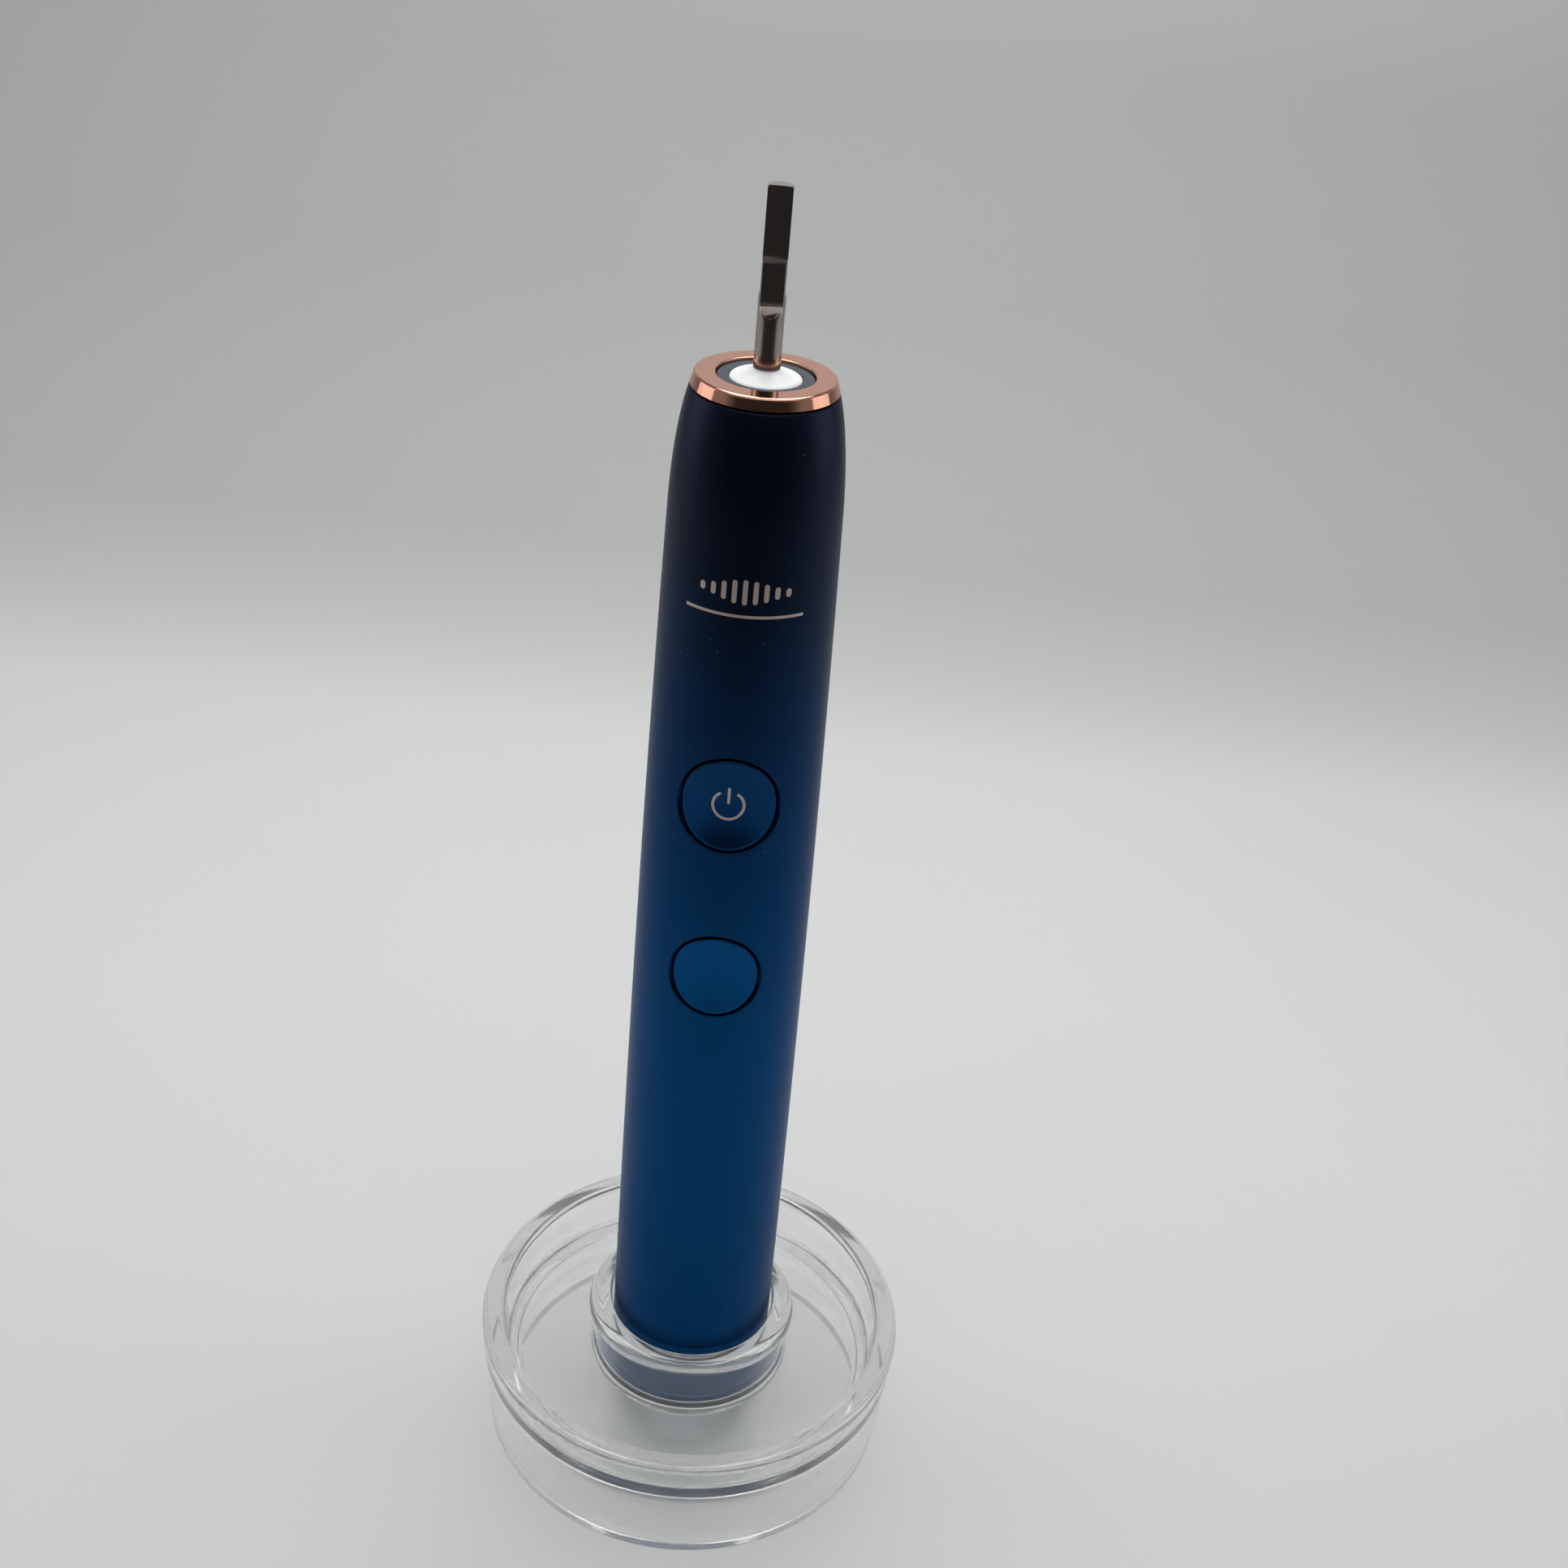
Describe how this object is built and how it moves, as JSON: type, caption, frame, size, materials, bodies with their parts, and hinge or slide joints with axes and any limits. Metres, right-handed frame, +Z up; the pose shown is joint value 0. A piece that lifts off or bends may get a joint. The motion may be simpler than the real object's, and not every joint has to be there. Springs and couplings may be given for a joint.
{
  "type": "electric toothbrush handle on a clear stand",
  "caption": "Slim cordless toothbrush handle with a bare steel drive shaft, metal collar and two push buttons, standing in a low clear round stand.",
  "frame": {"origin": "centre of the stand's underside, on the table", "axes": "+Z up along the handle and shaft, -Y towards the side with the buttons, +X to the right seen from the buttons"},
  "size_m": [0.0748, 0.0748, 0.2228],
  "materials": {
    "clear_moulding": "clear, polished",
    "handle_blue": "satin metallic lacquer, dark navy at the top to blue at the base",
    "button_blue": "satin metallic lacquer",
    "rose_metal": "polished rose-gold plating",
    "rose_print": "rose-gold print",
    "dark_rubber": "matte",
    "white_seal": "smooth silicone",
    "white_plastic": "moulded",
    "board_green": "solder mask",
    "black_epoxy": "matte",
    "switch_metal": "stamped",
    "led_body": "clear",
    "clear_plastic": "clear",
    "screw_steel": "plated",
    "cell_can": "shrink-wrapped",
    "nickel_strip": "bright",
    "copper_winding": "enamelled wire",
    "ferrite": "sintered",
    "lead_cover": "insulated wire",
    "cage_alloy": "anodised",
    "laminated_steel": "stacked laminations",
    "bronze_bush": "sintered",
    "shaft_steel": "polished",
    "magnet_plate": "nickel plated",
    "spring_steel": "bright"
  },
  "bodies": {
    "stand": {"clear_stand": "clear_moulding"},
    "handle": {"housing": "handle_blue", "bottom_cap": "handle_blue", "base_seal": "dark_rubber", "collar_ring": "rose_metal", "top_gasket": "dark_rubber", "shaft_seal": "white_seal", "seal_carrier": "white_plastic", "front_mark": "rose_print", "button_gaskets": "dark_rubber", "circuit_board": "board_green", "control_chips": "black_epoxy", "tact_switches": "switch_metal", "status_leds": "led_body", "light_guide": "clear_plastic", "board_screws": "screw_steel", "chassis": "white_plastic", "battery_cell": "cell_can", "battery_tabs": "nickel_strip", "battery_pad": "dark_rubber", "coil_bobbin": "white_plastic", "charging_coil": "copper_winding", "ferrite_core": "ferrite", "charge_leads": "lead_cover", "drive_frame": "cage_alloy", "rear_plate": "cage_alloy", "plate_screws": "screw_steel", "frame_dampers": "dark_rubber", "stator_core": "laminated_steel", "drive_coil": "copper_winding", "front_bearing": "bronze_bush", "rear_bearing": "bronze_bush", "return_spring": "spring_steel", "motor_leads": "lead_cover"},
    "drive": {"drive_shaft": "shaft_steel", "rotor_hub": "laminated_steel", "rotor_magnets": "magnet_plate"},
    "power_key": {"power_button": "button_blue", "power_symbol": "rose_print"},
    "mode_key": {"mode_button": "button_blue"}
  },
  "joints": [
    {"name": "handle_lift", "type": "slide", "parent": "stand", "child": "handle", "axis": [0, 0, 1], "range_m": [0, 0.03]},
    {"name": "shaft_sweep", "type": "hinge", "parent": "handle", "child": "drive", "pos_m": [0, 0, 0.2], "axis": [0, 0, 1], "range_deg": [-6, 6], "stiffness_Nm_per_rad": 0.05},
    {"name": "power_press", "type": "slide", "parent": "handle", "child": "power_key", "axis": [0, 1, 0], "range_m": [0, 0.0004], "stiffness_N_per_m": 1500, "springref_m": -0.0005},
    {"name": "mode_press", "type": "slide", "parent": "handle", "child": "mode_key", "axis": [0, 1, 0], "range_m": [0, 0.0004], "stiffness_N_per_m": 1500, "springref_m": -0.0005}
  ]
}
